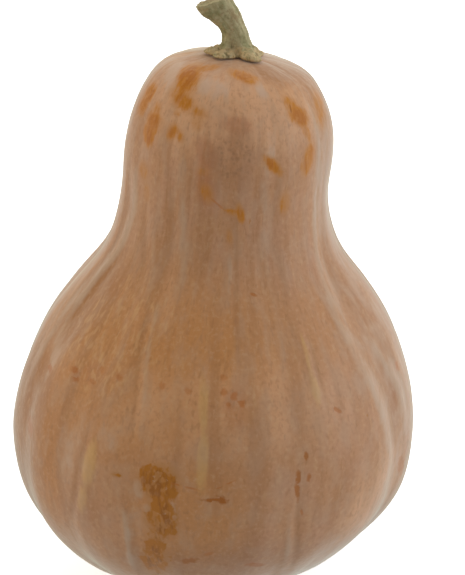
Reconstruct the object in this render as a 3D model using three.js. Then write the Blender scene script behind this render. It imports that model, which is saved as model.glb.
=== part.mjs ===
// A butternut squash standing on its blossom end: the ribbed fruit and its dried stem.
//
// Millimetres, +Z up, front towards -Y. The origin is the centre of the object's box
// at its lowest level, which is the flat ring that the fruit stands on. Round the
// growth axis, "facing" is the angle in degrees from the front (-Y) towards +X.
import * as THREE from "three";
import { LoftGeometry } from "three/addons/geometries/LoftGeometry.js";

const { degToRad, euclideanModulo, lerp, smoothstep } = THREE.MathUtils;

// ---- Fruit: driving dimensions ----
const FRUIT_HEIGHT = 190.5;
const BULB = { radius: 70.5, height: 55.5 }; // the widest section of the bulb
const WAIST = { radius: 35.8, height: 143.5 }; // the narrowest section, at the foot of the neck
const SHOULDER_CURVE = 56; // radius of curvature of the shoulder round the stem
const SEAT = { hollow: 1, reach: 14 }; // depth and reach of the hollow that the stem sits in
const FOOT_RING = { inner: 12, outer: 22 }; // radii of the flat ring that the fruit stands on
const DIMPLE_DEPTH = 3; // of the blossom end, above the flat ring
const SCAR = { radius: 4, height: 0.8 }; // the corky button in the dimple, where the flower dropped off
const AXIS_RUN = { lean: 4.5, bend: 6 }; // the growth axis leans, then bends, towards +X
const TOP_TILT = degToRad(6.5); // of the shoulder, down towards +X

// ---- Grooves between the ribs ----
// Each is [facing on the neck, facing low on the bulb, depth on the neck, depth on the bulb].
const GROOVES = [
  [-62, -72, 0.7, 1.5],
  [-38, -50, 0.5, 2],
  [-25, -19, 0.5, 1.2],
  [-3, -1, 0.2, 0.5],
  [22, 23, 0.9, 1.3],
  [37, 40, 0.2, 0.5],
  [59, 68, 1, 2.4],
  [97, 98, 0.8, 1.8],
  [132, 134, 0.7, 1.9],
  [170, 168, 0.8, 1.6],
  [-155, -152, 0.7, 1.9],
  [-120, -118, 0.8, 1.7],
  [-92, -96, 0.6, 1.6],
];
const GROOVE_HALF_WIDTH = 15; // degrees
const GROOVES_TURN = [15, 135]; // heights between which they swing to their facing on the neck
const GROOVES_EASE = [55, 135]; // heights between which they ease to their depth on the neck

// Where the fruit swells or falls in from its outline, as
// [facing, height, half-width in degrees, half-height, outward amount].
const SWELLS = [
  [50, 10, 60, 30, -1.8],
  [90, 30, 50, 34, 1],
  [88, 106, 45, 24, 1.5],
  [90, 144, 40, 20, -1],
  [-90, 146, 45, 30, 0.8],
  [-80, 60, 50, 40, 0.5],
  [-92, 102, 40, 18, 1],
];
// Radii over which grooves and swells rise from nothing, at the foot and at the seat.
const RELIEF_RISE = { foot: [FOOT_RING.outer, 38], seat: [6, 18] };

// ---- Stem: driving dimensions ----
const STEM_GAP = 0.3; // the dry foot stands just clear of the skin
const FOOT_CORE = 7; // radius of the foot between its lobes
// The foot's lobes, as [facing, reach].
const LOBES = [
  [-72, 12.3],
  [-38, 12.3],
  [38, 11.5],
  [105, 9],
  [172, 9],
  [-128, 9.5],
];
const LOBE_HALF_WIDTH = 36; // degrees
const LOBE_EDGE = 0.9; // thickness of a lobe at its rim
const LOBE_ROUNDING = 0.35; // by which the rim is rounded over
// The flared foot: its height, the side that it climbs highest on, how steeply it
// draws in on the far side and on that side, and how it rises.
const FLARE = { height: 6, buttress: 70, drawIn: [3.5, 1.4], rise: 1.35 };
// Centre line and girth of the stalk, as [height, run to +X, half-width across the bend].
const STALK = [
  [FLARE.height, -1.4, 4.6],
  [8, -2.2, 4.6],
  [10.6, -4.3, 5.3],
  [13.8, -7.7, 6.3],
  [17.6, -10.9, 5.7],
];
const STALK_HALF_DEPTH = 4.8; // half its thickness from front to back
const STALK_RIDGE = 0.55; // height of the ridges that run down the stalk into the lobes
// The end is cut across, nearly level: how far from square, from where along the stalk
// its sections lean over to it, the share inside the rim, and how deep it has dried hollow.
const CUT = { tilt: degToRad(24), leanFrom: 0.45, inside: 0.84, dish: 0.5 };

// ---- Fineness ----
const FRUIT_AROUND = 90;
const FRUIT_STEPS = { underside: 7, flank: 42 };
const STEM_AROUND = 40;
const STEM_STEPS = { flare: 5, stalk: 12 };

const SIDEWAYS = new THREE.Vector3(0, 1, 0); // the axis that lean and tilt turn about

const facings = (count) => Array.from({ length: count }, (_, i) => (i / count) * 360);
const turnBetween = (a, b) => euclideanModulo(a - b + 180, 360) - 180;
const swell = (t) => (Math.abs(t) < 1 ? (1 - t * t) ** 2 : 0);
const crease = (t) => (Math.abs(t) < 1 ? (1 - Math.abs(t)) ** 2 : 0);

function onCircle(facing, radius, z) {
  const angle = degToRad(facing);
  return new THREE.Vector3(radius * Math.sin(angle), -radius * Math.cos(angle), z);
}

// Height of the top of the fruit, from the seat of the stem to the edge of the shoulder.
const shoulder = (radius) =>
  FRUIT_HEIGHT - radius ** 2 / (2 * SHOULDER_CURVE) - SEAT.hollow * swell(radius / SEAT.reach);

// ---- Outline of the fruit from the blossom end to the seat, as [radius, height] ----
const UNDERSIDE = [
  [0, DIMPLE_DEPTH - SCAR.height],
  [SCAR.radius - 1, DIMPLE_DEPTH - SCAR.height],
  [SCAR.radius, DIMPLE_DEPTH - 0.2],
  [8, 1.3],
  [FOOT_RING.inner, 0],
];
const FLANK = [
  [FOOT_RING.outer, 0],
  [32, 2.8],
  [42.5, 8.2],
  [55.2, 18.5],
  [65.7, 33.5],
  [BULB.radius, BULB.height],
  [68.6, 74],
  [62.5, 90.5],
  [51, 107.5],
  [40, 124],
  [WAIST.radius, WAIST.height],
  [36, 154.5],
  [33.5, 171.5],
  ...[26, 16, 10, 5, 0].map((radius) => [radius, shoulder(radius)]),
];

function outlineThrough(stations, steps) {
  const points = stations.map(([radius, height]) => new THREE.Vector3(radius, 0, height));
  const curve = new THREE.CatmullRomCurve3(points, false, "centripetal");
  return curve.getSpacedPoints(steps).map(({ x, z }) => ({ radius: x, height: z }));
}

// How far the skin stands out from the outline at one place.
function reliefAt(facing, { radius, height }) {
  const turned = smoothstep(height, ...GROOVES_TURN);
  const eased = smoothstep(height, ...GROOVES_EASE);
  let relief = 0;
  for (const [neckFacing, bulbFacing, neckDepth, bulbDepth] of GROOVES) {
    const turn = turnBetween(facing, lerp(bulbFacing, neckFacing, turned));
    relief -= lerp(bulbDepth, neckDepth, eased) * crease(turn / GROOVE_HALF_WIDTH);
  }
  for (const [swellFacing, swellHeight, halfWidth, halfHeight, amount] of SWELLS) {
    const turn = turnBetween(facing, swellFacing);
    relief += amount * swell(turn / halfWidth) * swell((height - swellHeight) / halfHeight);
  }
  const end = height < BULB.height ? RELIEF_RISE.foot : RELIEF_RISE.seat;
  return relief * smoothstep(radius, ...end);
}

// Stands a section, or what the fruit carries, on the growth axis at its height.
function placeOnAxis(object, height) {
  const up = height / FRUIT_HEIGHT;
  object.position.set(AXIS_RUN.lean * up + AXIS_RUN.bend * up ** 2, 0, height);
  object.rotation.set(0, TOP_TILT * up ** 3, 0);
  object.updateMatrix();
  return object;
}

function fruitGeometry() {
  const outline = [
    ...outlineThrough(UNDERSIDE, FRUIT_STEPS.underside),
    ...outlineThrough(FLANK, FRUIT_STEPS.flank),
  ];
  const sections = outline.map((station, i) => {
    const before = outline[Math.max(i - 1, 0)];
    const after = outline[Math.min(i + 1, outline.length - 1)];
    const outward = new THREE.Vector2(after.height - before.height, before.radius - after.radius);
    outward.normalize();
    const { matrix } = placeOnAxis(new THREE.Object3D(), station.height);
    return facings(FRUIT_AROUND).map((facing) => {
      const relief = reliefAt(facing, station);
      const point = onCircle(facing, station.radius + relief * outward.x, relief * outward.y);
      return point.applyMatrix4(matrix);
    });
  });
  return new LoftGeometry(sections);
}

// ---- Stem, in its own frame: +Z along the fruit's axis, from the middle of the seat ----
const lobeShare = (facing, lobeFacing) => swell(turnBetween(facing, lobeFacing) / LOBE_HALF_WIDTH);
const ridgeAt = (facing) => Math.max(...LOBES.map(([lobeFacing]) => lobeShare(facing, lobeFacing)));
const reachAt = (facing) =>
  Math.max(...LOBES.map(([lobeFacing, reach]) => lerp(FOOT_CORE, reach, lobeShare(facing, lobeFacing))));

// A ring of the foot at a share of its reach, lifted off the seat that it drapes over.
function footRing(share, lift) {
  return facings(STEM_AROUND).map((facing) => {
    const radius = reachAt(facing) * share;
    return onCircle(facing, radius, shoulder(radius) - shoulder(0) + STEM_GAP + lift);
  });
}

const stalkLine = new THREE.CatmullRomCurve3(STALK.map(([height, run]) => new THREE.Vector3(run, 0, height)));
const stalkGirth = new THREE.SplineCurve(STALK.map(([height, , girth]) => new THREE.Vector2(girth, height)));

// A ring of the stalk at t from 0 to 1 along it; the cut end is scaled and sunk rings at 1.
function stalkRing(t, scale = 1, sink = 0) {
  const centre = stalkLine.getPoint(t);
  const halfWidth = stalkGirth.getPoint(t).x;
  const tilt = -CUT.tilt * smoothstep(t, CUT.leanFrom, 1);
  return facings(STEM_AROUND).map((facing) => {
    const ridge = STALK_RIDGE * (ridgeAt(facing) - 0.5);
    const point = onCircle(facing, scale, -sink);
    point.x *= halfWidth + ridge;
    point.y *= STALK_HALF_DEPTH + ridge;
    return point.applyAxisAngle(SIDEWAYS, tilt).add(centre);
  });
}

// The flare from the rim of the lobes up to the foot of the stalk.
function flareRings() {
  const rim = footRing(1, LOBE_EDGE);
  const top = stalkRing(0);
  return Array.from({ length: STEM_STEPS.flare }, (_, step) => {
    const up = step / STEM_STEPS.flare;
    return facings(STEM_AROUND).map((facing, i) => {
      const buttress = (1 + Math.cos(degToRad(facing - FLARE.buttress))) / 2;
      const drawnIn = 1 - (1 - up) ** lerp(...FLARE.drawIn, buttress);
      const point = rim[i].clone().lerp(top[i], drawnIn);
      const rounded = onCircle(facing, step === 0 ? LOBE_ROUNDING : 0, 0);
      return point.sub(rounded).setZ(lerp(rim[i].z, top[i].z, up ** FLARE.rise));
    });
  });
}

function stemGeometry() {
  const stalk = Array.from({ length: STEM_STEPS.stalk + 1 }, (_, step) => stalkRing(step / STEM_STEPS.stalk));
  return new LoftGeometry([
    footRing(0, 0),
    footRing(0.5, 0),
    footRing(1, 0),
    footRing(1, LOBE_EDGE - LOBE_ROUNDING),
    ...flareRings(),
    ...stalk,
    stalkRing(1, CUT.inside, CUT.dish / 2),
    stalkRing(1, 0, CUT.dish),
  ]);
}

// ---- Assembly ----
const fruit = new THREE.Mesh(
  fruitGeometry(),
  new THREE.MeshStandardMaterial({ color: 0xa37050, roughness: 0.55, metalness: 0 }),
);
fruit.name = "fruit";

const stem = new THREE.Mesh(
  stemGeometry(),
  new THREE.MeshStandardMaterial({ color: 0x7b754d, roughness: 0.85, metalness: 0 }),
);
stem.name = "stem";
stem.position.z = -SEAT.hollow;
const top = placeOnAxis(new THREE.Group(), FRUIT_HEIGHT).add(stem);

const squash = new THREE.Group().add(fruit, top);
const middle = new THREE.Box3().setFromObject(squash, true).getCenter(new THREE.Vector3());
squash.position.set(-middle.x, -middle.y, 0);

export default squash;
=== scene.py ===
"""A ripe butternut squash standing on its blossom end, dressed and lit in a small studio.

+Z is up and the front faces -Y. The scene is in metres; the sizes of the squash are named in
millimetres and turned to metres where they are used. Round the growth axis, "facing" is the
angle in degrees from the front towards +X. "Along" is the distance in millimetres up the skin:
the height, stretched where the skin slopes in to the blossom end and to the stem.
"""

import logging
from dataclasses import dataclass, field, fields
from enum import Enum
from math import cos, radians, sin
from random import Random

import bpy
import numpy as np
from mathutils import Matrix, Vector, noise


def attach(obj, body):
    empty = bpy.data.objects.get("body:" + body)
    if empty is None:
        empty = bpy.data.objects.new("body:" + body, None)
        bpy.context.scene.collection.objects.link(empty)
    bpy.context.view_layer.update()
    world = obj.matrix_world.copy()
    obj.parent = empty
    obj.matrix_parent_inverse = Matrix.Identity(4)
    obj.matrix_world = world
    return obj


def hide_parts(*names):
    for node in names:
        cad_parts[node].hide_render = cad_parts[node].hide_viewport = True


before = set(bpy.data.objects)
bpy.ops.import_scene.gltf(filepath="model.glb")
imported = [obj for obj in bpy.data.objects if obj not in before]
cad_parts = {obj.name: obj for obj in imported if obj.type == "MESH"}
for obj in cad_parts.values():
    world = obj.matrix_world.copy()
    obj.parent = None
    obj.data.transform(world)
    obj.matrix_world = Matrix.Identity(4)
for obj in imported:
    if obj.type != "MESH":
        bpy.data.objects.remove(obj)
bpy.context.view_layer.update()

MM = 0.001  # metres
WELD = 0.001  # millimetres within which two vertices are one
BODY = "root"

Pair = tuple[float, float]
Triple = tuple[float, float, float]
Tree = bpy.types.NodeTree
Socket = bpy.types.NodeSocket

# Sockets of the colour Mix node, whose names are shared with its sockets for numbers.
MIX_SHARE, MIX_UNDER, MIX_OVER, MIXED = 0, 6, 7, 2

log = logging.getLogger("butternut_squash")


# ---- Tools for fields and meshes ----


def smooth_step(values: np.ndarray, low: float, high: float) -> np.ndarray:
    """Ease values from 0 at low to 1 at high."""
    share = np.clip((values - low) / (high - low), 0, 1)
    return share * share * (3 - 2 * share)


def swell(shares: np.ndarray) -> np.ndarray:
    """Rise from 0 at -1 and 1 to a round top of 1 at 0."""
    return np.clip(1 - shares**2, 0, None) ** 2


def turn_between(facings: np.ndarray, other: np.ndarray | float) -> np.ndarray:
    """Give the shortest turn in degrees from one facing to another."""
    return (facings - other + 180) % 360 - 180


def noise_at(points: np.ndarray, size: Triple, octaves: int = 2) -> np.ndarray:
    """Sample a smooth random field that is the same each run.

    Args:
        points: places, one row each, in millimetres.
        size: of its features along x, y and z, in millimetres.
        octaves: number of ever finer layers.

    Returns:
        One value for each place, mostly from -1 to 1.
    """
    finer, fainter = 2.0, 1.0  # each layer is this many times finer, and by this power of it fainter
    places = points / np.array(size)
    return np.array([noise.fractal(Vector(p), fainter, finer, octaves) for p in places])


def refined_copy(node: str, name: str, levels: int, quad_angle: float) -> bpy.types.Object:
    """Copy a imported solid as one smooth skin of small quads.

    Args:
        node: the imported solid's name.
        name: the new piece's name.
        levels: how many times the skin is subdivided.
        quad_angle: up to how many degrees apart two triangles become one quad.

    Returns:
        The new piece, welded and subdivided, with its place in its mesh.
    """
    bpy.ops.object.select_all(action="DESELECT")
    piece = bpy.data.objects.new(name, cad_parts[node].data.copy())
    piece.data.materials.clear()
    bpy.context.collection.objects.link(piece)
    bpy.context.view_layer.objects.active = piece
    piece.select_set(True)
    bpy.ops.mesh.customdata_custom_splitnormals_clear()
    bpy.ops.object.mode_set(mode="EDIT")
    bpy.ops.mesh.select_all(action="SELECT")
    bpy.ops.mesh.remove_doubles(threshold=WELD * MM)
    angle = radians(quad_angle)
    bpy.ops.mesh.tris_convert_to_quads(face_threshold=angle, shape_threshold=angle)
    bpy.ops.object.mode_set(mode="OBJECT")
    finer = piece.modifiers.new("finer", "SUBSURF")
    finer.levels = levels
    finer.render_levels = levels
    bpy.ops.object.modifier_apply(modifier=finer.name)
    bpy.ops.object.shade_smooth()
    return piece


def read_points(mesh: bpy.types.Mesh, what: str = "co") -> np.ndarray:
    """Read the places or normals of a mesh's vertices, one row each.

    Args:
        mesh: the mesh.
        what: "co" for places, "normal" for normals.

    Returns:
        Places in millimetres, or normals.
    """
    rows = np.empty(len(mesh.vertices) * 3)
    mesh.vertices.foreach_get(what, rows)
    return rows.reshape(-1, 3) / (MM if what == "co" else 1)


def move_points(mesh: bpy.types.Mesh, points: np.ndarray) -> None:
    """Give a mesh's vertices new places, in millimetres."""
    mesh.vertices.foreach_set("co", (points * MM).ravel())
    mesh.update()


def keep_field(mesh: bpy.types.Mesh, name: str, values: np.ndarray, domain: str = "POINT") -> None:
    """Store one number, or one row of three, for each vertex or face corner.

    Args:
        mesh: the mesh that takes them.
        name: the attribute's name, which its material reads.
        values: the numbers or rows.
        domain: "POINT" for vertices, "CORNER" for face corners.
    """
    rows = values.ndim == 2
    attribute = mesh.attributes.new(name, "FLOAT_VECTOR" if rows else "FLOAT", domain)
    attribute.data.foreach_set("vector" if rows else "value", values.ravel())


# ---- Tools for finishes ----


def linear(hex_colour: str) -> tuple[float, float, float, float]:
    """Turn an sRGB colour into the linear one that shaders read, by the curve of that standard.

    Args:
        hex_colour: six hex digits after a hash sign.

    Returns:
        Red, green, blue and an alpha of one.
    """
    levels = [int(hex_colour[i : i + 2], 16) / 255 for i in (1, 3, 5)]
    red, green, blue = (v / 12.92 if v <= 0.04045 else ((v + 0.055) / 1.055) ** 2.4 for v in levels)
    return (red, green, blue, 1.0)


def add(tree: Tree, kind: str, feeds: dict | None = None, **settings) -> bpy.types.Node:
    """Add one node with its settings and whatever feeds its sockets.

    Args:
        tree: the tree that takes the node.
        kind: the node's type.
        feeds: for a socket's name or number, a value or the output that is linked to it.
        settings: the node's own properties.

    Returns:
        The new node.
    """
    node = tree.nodes.new(kind)
    for name, value in settings.items():
        setattr(node, name, value)
    for socket, feed in (feeds or {}).items():
        if isinstance(feed, Socket):
            tree.links.new(feed, node.inputs[socket])
        else:
            node.inputs[socket].default_value = feed
    return node


def start_material(name: str) -> tuple[bpy.types.Material, Tree]:
    """Start a material with an empty tree.

    Args:
        name: what the finish is.

    Returns:
        The material and its tree.
    """
    material = bpy.data.materials.new(name)
    material.use_nodes = True
    material.node_tree.nodes.clear()
    return material, material.node_tree


@dataclass(frozen=True)
class Weave:
    """A random field on a surface, with features of a real size."""

    name: str
    drawn_out: bool  # along the surface's own grain, and otherwise in space
    width: float  # millimetres
    length: float  # millimetres
    octaves: float = 2.0
    dotted: bool = False  # round dots that far apart, instead of clouds
    apart: float = 7.3  # features by which it is moved from the field before it, so as not to follow it


@dataclass(frozen=True)
class Layer:
    """One colour of a finish, laid over those before it wherever its field is high."""

    colour: str
    patch: Enum | None  # the field of the mesh that it fills, or None where it lies all over
    weave: str  # the random field that frays it
    fray: float  # how far that field moves its edge
    low: float  # where it starts to show
    high: float  # where it shows most
    cover: float  # how much it hides there of what is under it


def add_weaves(tree: Tree, weaves: tuple[Weave, ...]) -> dict[str, Socket]:
    """Add the random fields that a finish is made from.

    Args:
        tree: the material's tree.
        weaves: the fields.

    Returns:
        For each field's name the output that gives it: clouds run from about 0.2 to 0.8, dots
        from about 0.2 to 1 at their middles.
    """
    grain = add(tree, "ShaderNodeAttribute", attribute_name="grain").outputs["Vector"]
    place = add(tree, "ShaderNodeTexCoord").outputs["Object"]
    woven = {}
    for number, weave in enumerate(weaves):
        across, lengthways = 1 / (weave.width * MM), 1 / (weave.length * MM)
        drawn = add(
            tree,
            "ShaderNodeMapping",
            {
                "Vector": grain if weave.drawn_out else place,
                "Location": (weave.apart * number, 0, 0),
                "Scale": (across, across, lengthways),
            },
        )
        feeds = {"Vector": drawn.outputs["Vector"], "Scale": 1.0}
        if weave.dotted:
            dots = add(tree, "ShaderNodeTexVoronoi", feeds)
            near = add(tree, "ShaderNodeMath", {0: 1.0, 1: dots.outputs["Distance"]}, operation="SUBTRACT")
            woven[weave.name] = near.outputs["Value"]
        else:
            clouds = add(tree, "ShaderNodeTexNoise", {**feeds, "Detail": weave.octaves})
            woven[weave.name] = clouds.outputs["Fac"]
    return woven


def lay_colours(
    tree: Tree,
    ground: str,
    layers: tuple[Layer, ...],
    woven: dict[str, Socket],
) -> tuple[Socket, dict[Enum | None, Socket]]:
    """Lay one colour over another.

    Args:
        tree: the material's tree.
        ground: the colour under them all.
        layers: the colours, from the lowest up.
        woven: the random fields by name.

    Returns:
        The colour, and for each patch how much its last layer covers.
    """
    colour = linear(ground)
    shares = {}
    for layer in layers:
        level = woven[layer.weave]
        if layer.patch:
            patch = add(tree, "ShaderNodeAttribute", attribute_name=layer.patch.value)
            frayed = add(
                tree,
                "ShaderNodeMath",
                {0: level, 1: layer.fray, 2: patch.outputs["Fac"]},
                operation="MULTIPLY_ADD",
            )
            level = frayed.outputs["Value"]
        share = add(
            tree,
            "ShaderNodeMapRange",
            {"Value": level, "From Min": layer.low, "From Max": layer.high, "To Max": layer.cover},
            interpolation_type="SMOOTHSTEP",
        )
        mixed = add(
            tree,
            "ShaderNodeMix",
            {MIX_SHARE: share.outputs["Result"], MIX_UNDER: colour, MIX_OVER: linear(layer.colour)},
            data_type="RGBA",
        )
        colour = mixed.outputs[MIXED]
        shares[layer.patch] = share.outputs["Result"]
    return colour, shares


def stack_relief(tree: Tree, parts: tuple[tuple[Socket, float], ...]) -> Socket:
    """Add up fine relief that is too small for the mesh.

    Args:
        tree: the material's tree.
        parts: each field with the height in millimetres between its lows and highs.

    Returns:
        The bent normal.
    """
    normal = None
    for height, depth in parts:
        feeds = {"Height": height, "Distance": depth * MM, "Strength": 1.0}
        if normal:
            feeds["Normal"] = normal
        normal = add(tree, "ShaderNodeBump", feeds).outputs["Normal"]
    return normal


# ---- Studio ----


@dataclass(frozen=True)
class Softbox:
    """A square lamp behind white cloth, which faces the middle of the fruit."""

    name: str
    facing: float  # degrees from the front towards +X
    elevation: float  # degrees above the fruit's middle
    distance: float  # metres
    side: float  # metres
    power: float  # watts
    colour: str = "#ffffff"

    def hang(self, aim: Vector) -> None:
        """Set up the lamp.

        Args:
            aim: the point that it faces, in metres.
        """
        light = bpy.data.lights.new(self.name, "AREA")
        light.shape = "SQUARE"
        light.size = self.side
        light.energy = self.power
        light.color = linear(self.colour)[:3]
        lamp = bpy.data.objects.new(self.name, light)
        bpy.context.collection.objects.link(lamp)
        turn, rise = radians(self.facing), radians(self.elevation)
        outward = Vector((sin(turn) * cos(rise), -cos(turn) * cos(rise), sin(rise)))
        lamp.location = aim + outward * self.distance
        lamp.rotation_euler = outward.to_track_quat("Z", "Y").to_euler()


@dataclass(frozen=True)
class OpalAcrylic:
    """The top of a light table: opal acrylic sheet with a faint even glow.

    Its pigment scatters nearly all light and its face is matt, so it shows no reflections.
    """

    colour: str = "#fbfbfa"
    roughness: float = 0.6
    specular: float = 0.2
    glow: float = 0.7  # watts per square metre and steradian

    def material(self) -> bpy.types.Material:
        """Make the sheet's material.

        Returns:
            The material.
        """
        material, tree = start_material("opal_acrylic")
        sheet = add(
            tree,
            "ShaderNodeBsdfPrincipled",
            {
                "Base Color": linear(self.colour),
                "Roughness": self.roughness,
                "Specular IOR Level": self.specular,
                "Emission Color": linear(self.colour),
                "Emission Strength": self.glow,
            },
        )
        add(tree, "ShaderNodeOutputMaterial", {"Surface": sheet.outputs["BSDF"]})
        return material


@dataclass(frozen=True)
class Studio:
    """The light table, the screen and lamps round it, and the camera. Metres and degrees."""

    aim: Triple = (0.00673, 0, 0.10637)
    camera_elevation: float = 18.0
    camera_distance: float = 1.0
    lens: float = 180.0  # millimetres
    table_side: float = 12.0
    table_drop: float = 0.0003  # the sheet gives way this much under the fruit
    screen_height: float = 4.0
    screen_sides: int = 128  # so many that it looks round
    room_light: float = 0.335  # watts per square metre and steradian
    lamps: tuple[Softbox, ...] = (
        Softbox("softbox_left", -80, 15, 1.1, 0.8, 3.3, "#fff2d8"),
        Softbox("softbox_right", 80, 15, 1.1, 0.8, 5.3, "#edf4ff"),
        Softbox("softbox_top", 180, 80, 1.1, 0.9, 3.0),
        Softbox("softbox_rear_left", -150, 22, 1.1, 0.8, 2.7, "#fff0dc"),
        Softbox("softbox_rear_right", 148, 22, 1.1, 0.8, 2.9),
    )

    def light(self) -> None:
        """Hang the lamps and give the room its even light."""
        for lamp in self.lamps:
            lamp.hang(Vector(self.aim))
        world = bpy.data.worlds.new("white_room")
        world.use_nodes = True
        room = world.node_tree.nodes["Background"]
        room.inputs["Color"].default_value = linear("#ffffff")
        room.inputs["Strength"].default_value = self.room_light
        bpy.context.scene.world = world
        bpy.context.scene.view_settings.view_transform = "Standard"

    def lay_table(self) -> None:
        """Lay the sheet that the fruit stands on."""
        bpy.ops.object.select_all(action="DESELECT")
        bpy.ops.mesh.primitive_plane_add(size=self.table_side, location=(0, 0, -self.table_drop))
        self.stage_sheet("light_table")

    def hang_screen(self) -> None:
        """Hang a round screen of the same sheet along its edge, which hides the room."""
        bpy.ops.object.select_all(action="DESELECT")
        bpy.ops.mesh.primitive_cylinder_add(
            vertices=self.screen_sides,
            radius=self.table_side / 2,
            depth=self.screen_height,
            end_fill_type="NOTHING",
            location=(0, 0, self.screen_height / 2 - self.table_drop),
        )
        screen = self.stage_sheet("light_screen")
        screen.visible_glossy = False
        screen.visible_shadow = False

    def stage_sheet(self, name: str) -> bpy.types.Object:
        """Finish the sheet that was just added.

        Args:
            name: the sheet's name.

        Returns:
            The sheet.
        """
        sheet = bpy.context.active_object
        sheet.name = name
        bpy.ops.object.transform_apply(location=True, rotation=True, scale=True)
        sheet.data.materials.append(OpalAcrylic().material())
        sheet.visible_diffuse = False  # black flags keep its glow off the fruit
        return sheet

    def set_camera(self) -> None:
        """Stand the camera in front, looking down on the fruit."""
        tilt = radians(self.camera_elevation)
        outward = Vector((0, -cos(tilt), sin(tilt)))
        camera = bpy.data.objects.new("camera", bpy.data.cameras.new("camera"))
        camera.data.lens = self.lens
        camera.location = Vector(self.aim) + outward * self.camera_distance
        camera.rotation_euler = outward.to_track_quat("Z", "Y").to_euler()
        bpy.context.collection.objects.link(camera)
        bpy.context.scene.camera = camera


# ---- Fruit ----


@dataclass(frozen=True)
class GrowthAxis:
    """The line that the fruit grew along, in millimetres.

    It leans and then bends towards +X, and the fruit's sections tilt with it near the top.
    """

    foot: Pair  # x and y where it meets the table
    height: float = 190.5
    lean: float = 4.5
    bend: float = 6.0
    tilt: float = radians(6.5)
    rounds: int = 4  # of working out a height: it settles to a hundredth of a millimetre

    def locate(self, points: np.ndarray) -> tuple[np.ndarray, np.ndarray, np.ndarray]:
        """Tell where places lie round the axis.

        Args:
            points: one row each, in millimetres.

        Returns:
            Their facings in degrees, heights up the axis and distances from it.
        """
        across = points[:, 0] - self.foot[0]
        depth = points[:, 1] - self.foot[1]
        height = points[:, 2]
        for _ in range(self.rounds):
            share = height / self.height
            aside = across - self.lean * share - self.bend * share**2
            height = points[:, 2] + aside * np.sin(self.tilt * share**3)
        aside = aside / np.cos(self.tilt * share**3)
        return np.degrees(np.arctan2(aside, -depth)), height, np.hypot(aside, depth)

    def seat(self) -> Matrix:
        """Give the place of the stem's seat, with +Z up the axis."""
        middle = Vector((self.foot[0] + self.lean + self.bend, self.foot[1], self.height))
        return Matrix.Translation(middle) @ Matrix.Rotation(self.tilt, 4, "Y")


@dataclass(frozen=True)
class SkinMap:
    """Where each vertex of the skin lies on the fruit."""

    facing: np.ndarray  # degrees
    height: np.ndarray  # millimetres up the growth axis
    radius: np.ndarray  # millimetres from it
    along: np.ndarray  # millimetres up the skin


@dataclass(frozen=True)
class Ridge:
    """A low raised line on the skin with a shallow groove on one side."""

    path: tuple[Pair, ...]  # facing in degrees and height, from the bottom up
    rise: float = 0.4  # millimetres
    half_width: float = 2.5  # millimetres
    groove: float = 0.7  # its depth as a share of the rise, and how much painted shade it gets: below zero it lies to the left
    pale: float = 1.0  # how much of its crest is painted pale: a painted highlight, greyed like the wax
    run_out: float = 12.0  # millimetres over which each end fades
    aside: float = 1.5  # half widths from the crest to the groove

    def trace(self, at: SkinMap) -> tuple[np.ndarray, np.ndarray]:
        """Tell where vertices lie on the ridge.

        Args:
            at: the skin's map.

        Returns:
            How far up the crest and how far down the groove each vertex is, from 0 to 1.
        """
        facings, heights = np.array(self.path).T
        turn = turn_between(at.facing, np.interp(at.height, heights, facings))
        shares = np.radians(turn) * at.radius / self.half_width
        ends = smooth_step(at.height, heights[0] - self.run_out, heights[0] + self.run_out)
        ends *= 1 - smooth_step(at.height, heights[-1] - self.run_out, heights[-1] + self.run_out)
        return ends * swell(shares), ends * swell(shares - self.aside * np.sign(self.groove))

    def lift(self, at: SkinMap) -> np.ndarray:
        """Give how far it lifts the skin at each vertex, in millimetres."""
        crest, groove = self.trace(at)
        return self.rise * (crest - abs(self.groove) * groove)


@dataclass(frozen=True)
class Mark:
    """A patch or a scar on the skin, as an ellipse."""

    facing: float  # degrees
    along: float  # millimetres
    half_width: float  # millimetres
    half_length: float  # millimetres
    lean: float = 0.0  # degrees by which its top leans to the right
    strength: float = 1.0
    reach: float = 1.6  # half widths at which its depth has faded out

    def place(self, at: SkinMap) -> tuple[np.ndarray, np.ndarray]:
        """Tell where places lie in the mark's own frame, its edge being at 1.

        Args:
            at: the places' map.

        Returns:
            How far across it and how far along it they lie.
        """
        aside = np.radians(turn_between(at.facing, self.facing)) * at.radius
        up = at.along - self.along
        turn = radians(self.lean)
        across = (aside * cos(turn) - up * sin(turn)) / self.half_width
        lengthways = (aside * sin(turn) + up * cos(turn)) / self.half_length
        return across, lengthways

    def depth(self, at: SkinMap) -> np.ndarray:
        """Give how deep inside the mark each place is, from 0 outside to its strength."""
        return self.strength * np.clip(self.reach - np.hypot(*self.place(at)), 0, 1)


class Patch(Enum):
    """What a broad patch on the skin is, by the name of the field that keeps it."""

    RUB = "rub"  # the wax is rubbed off and the orange rind is bare
    CORK = "cork"  # the rind is scuffed down to brown cork
    BLOOM = "bloom"  # the wax lies thick and grey; on the right flank this is also painted sheen of the cold light from the right
    YELLOW = "yellow"  # the rind is paler and yellower
    PORES = "pores"  # dark pores stand close together
    OCHRE = "ochre"  # the rind is warmer
    RUSSET = "russet"  # the rind is redder
    BROWN = "brown"  # darker; on the upper left of the bulb and the top and right of the shoulder, painted shade
    PALE = "pale"  # lighter; low on the right this is painted bounce light from the table
    FLECKS = "flecks"  # light flecks stand close together
    CREST = "crest"  # the top of a ridge, painted pale as a highlight, greyed like the wax
    GROOVE = "groove"  # the bottom of a groove, darkened with painted shade
    SIDES = "sides"  # away from both ends, where growth drew the rind out into streaks
    BUTTON = "button"  # the corky scar where the flower dropped off


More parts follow.
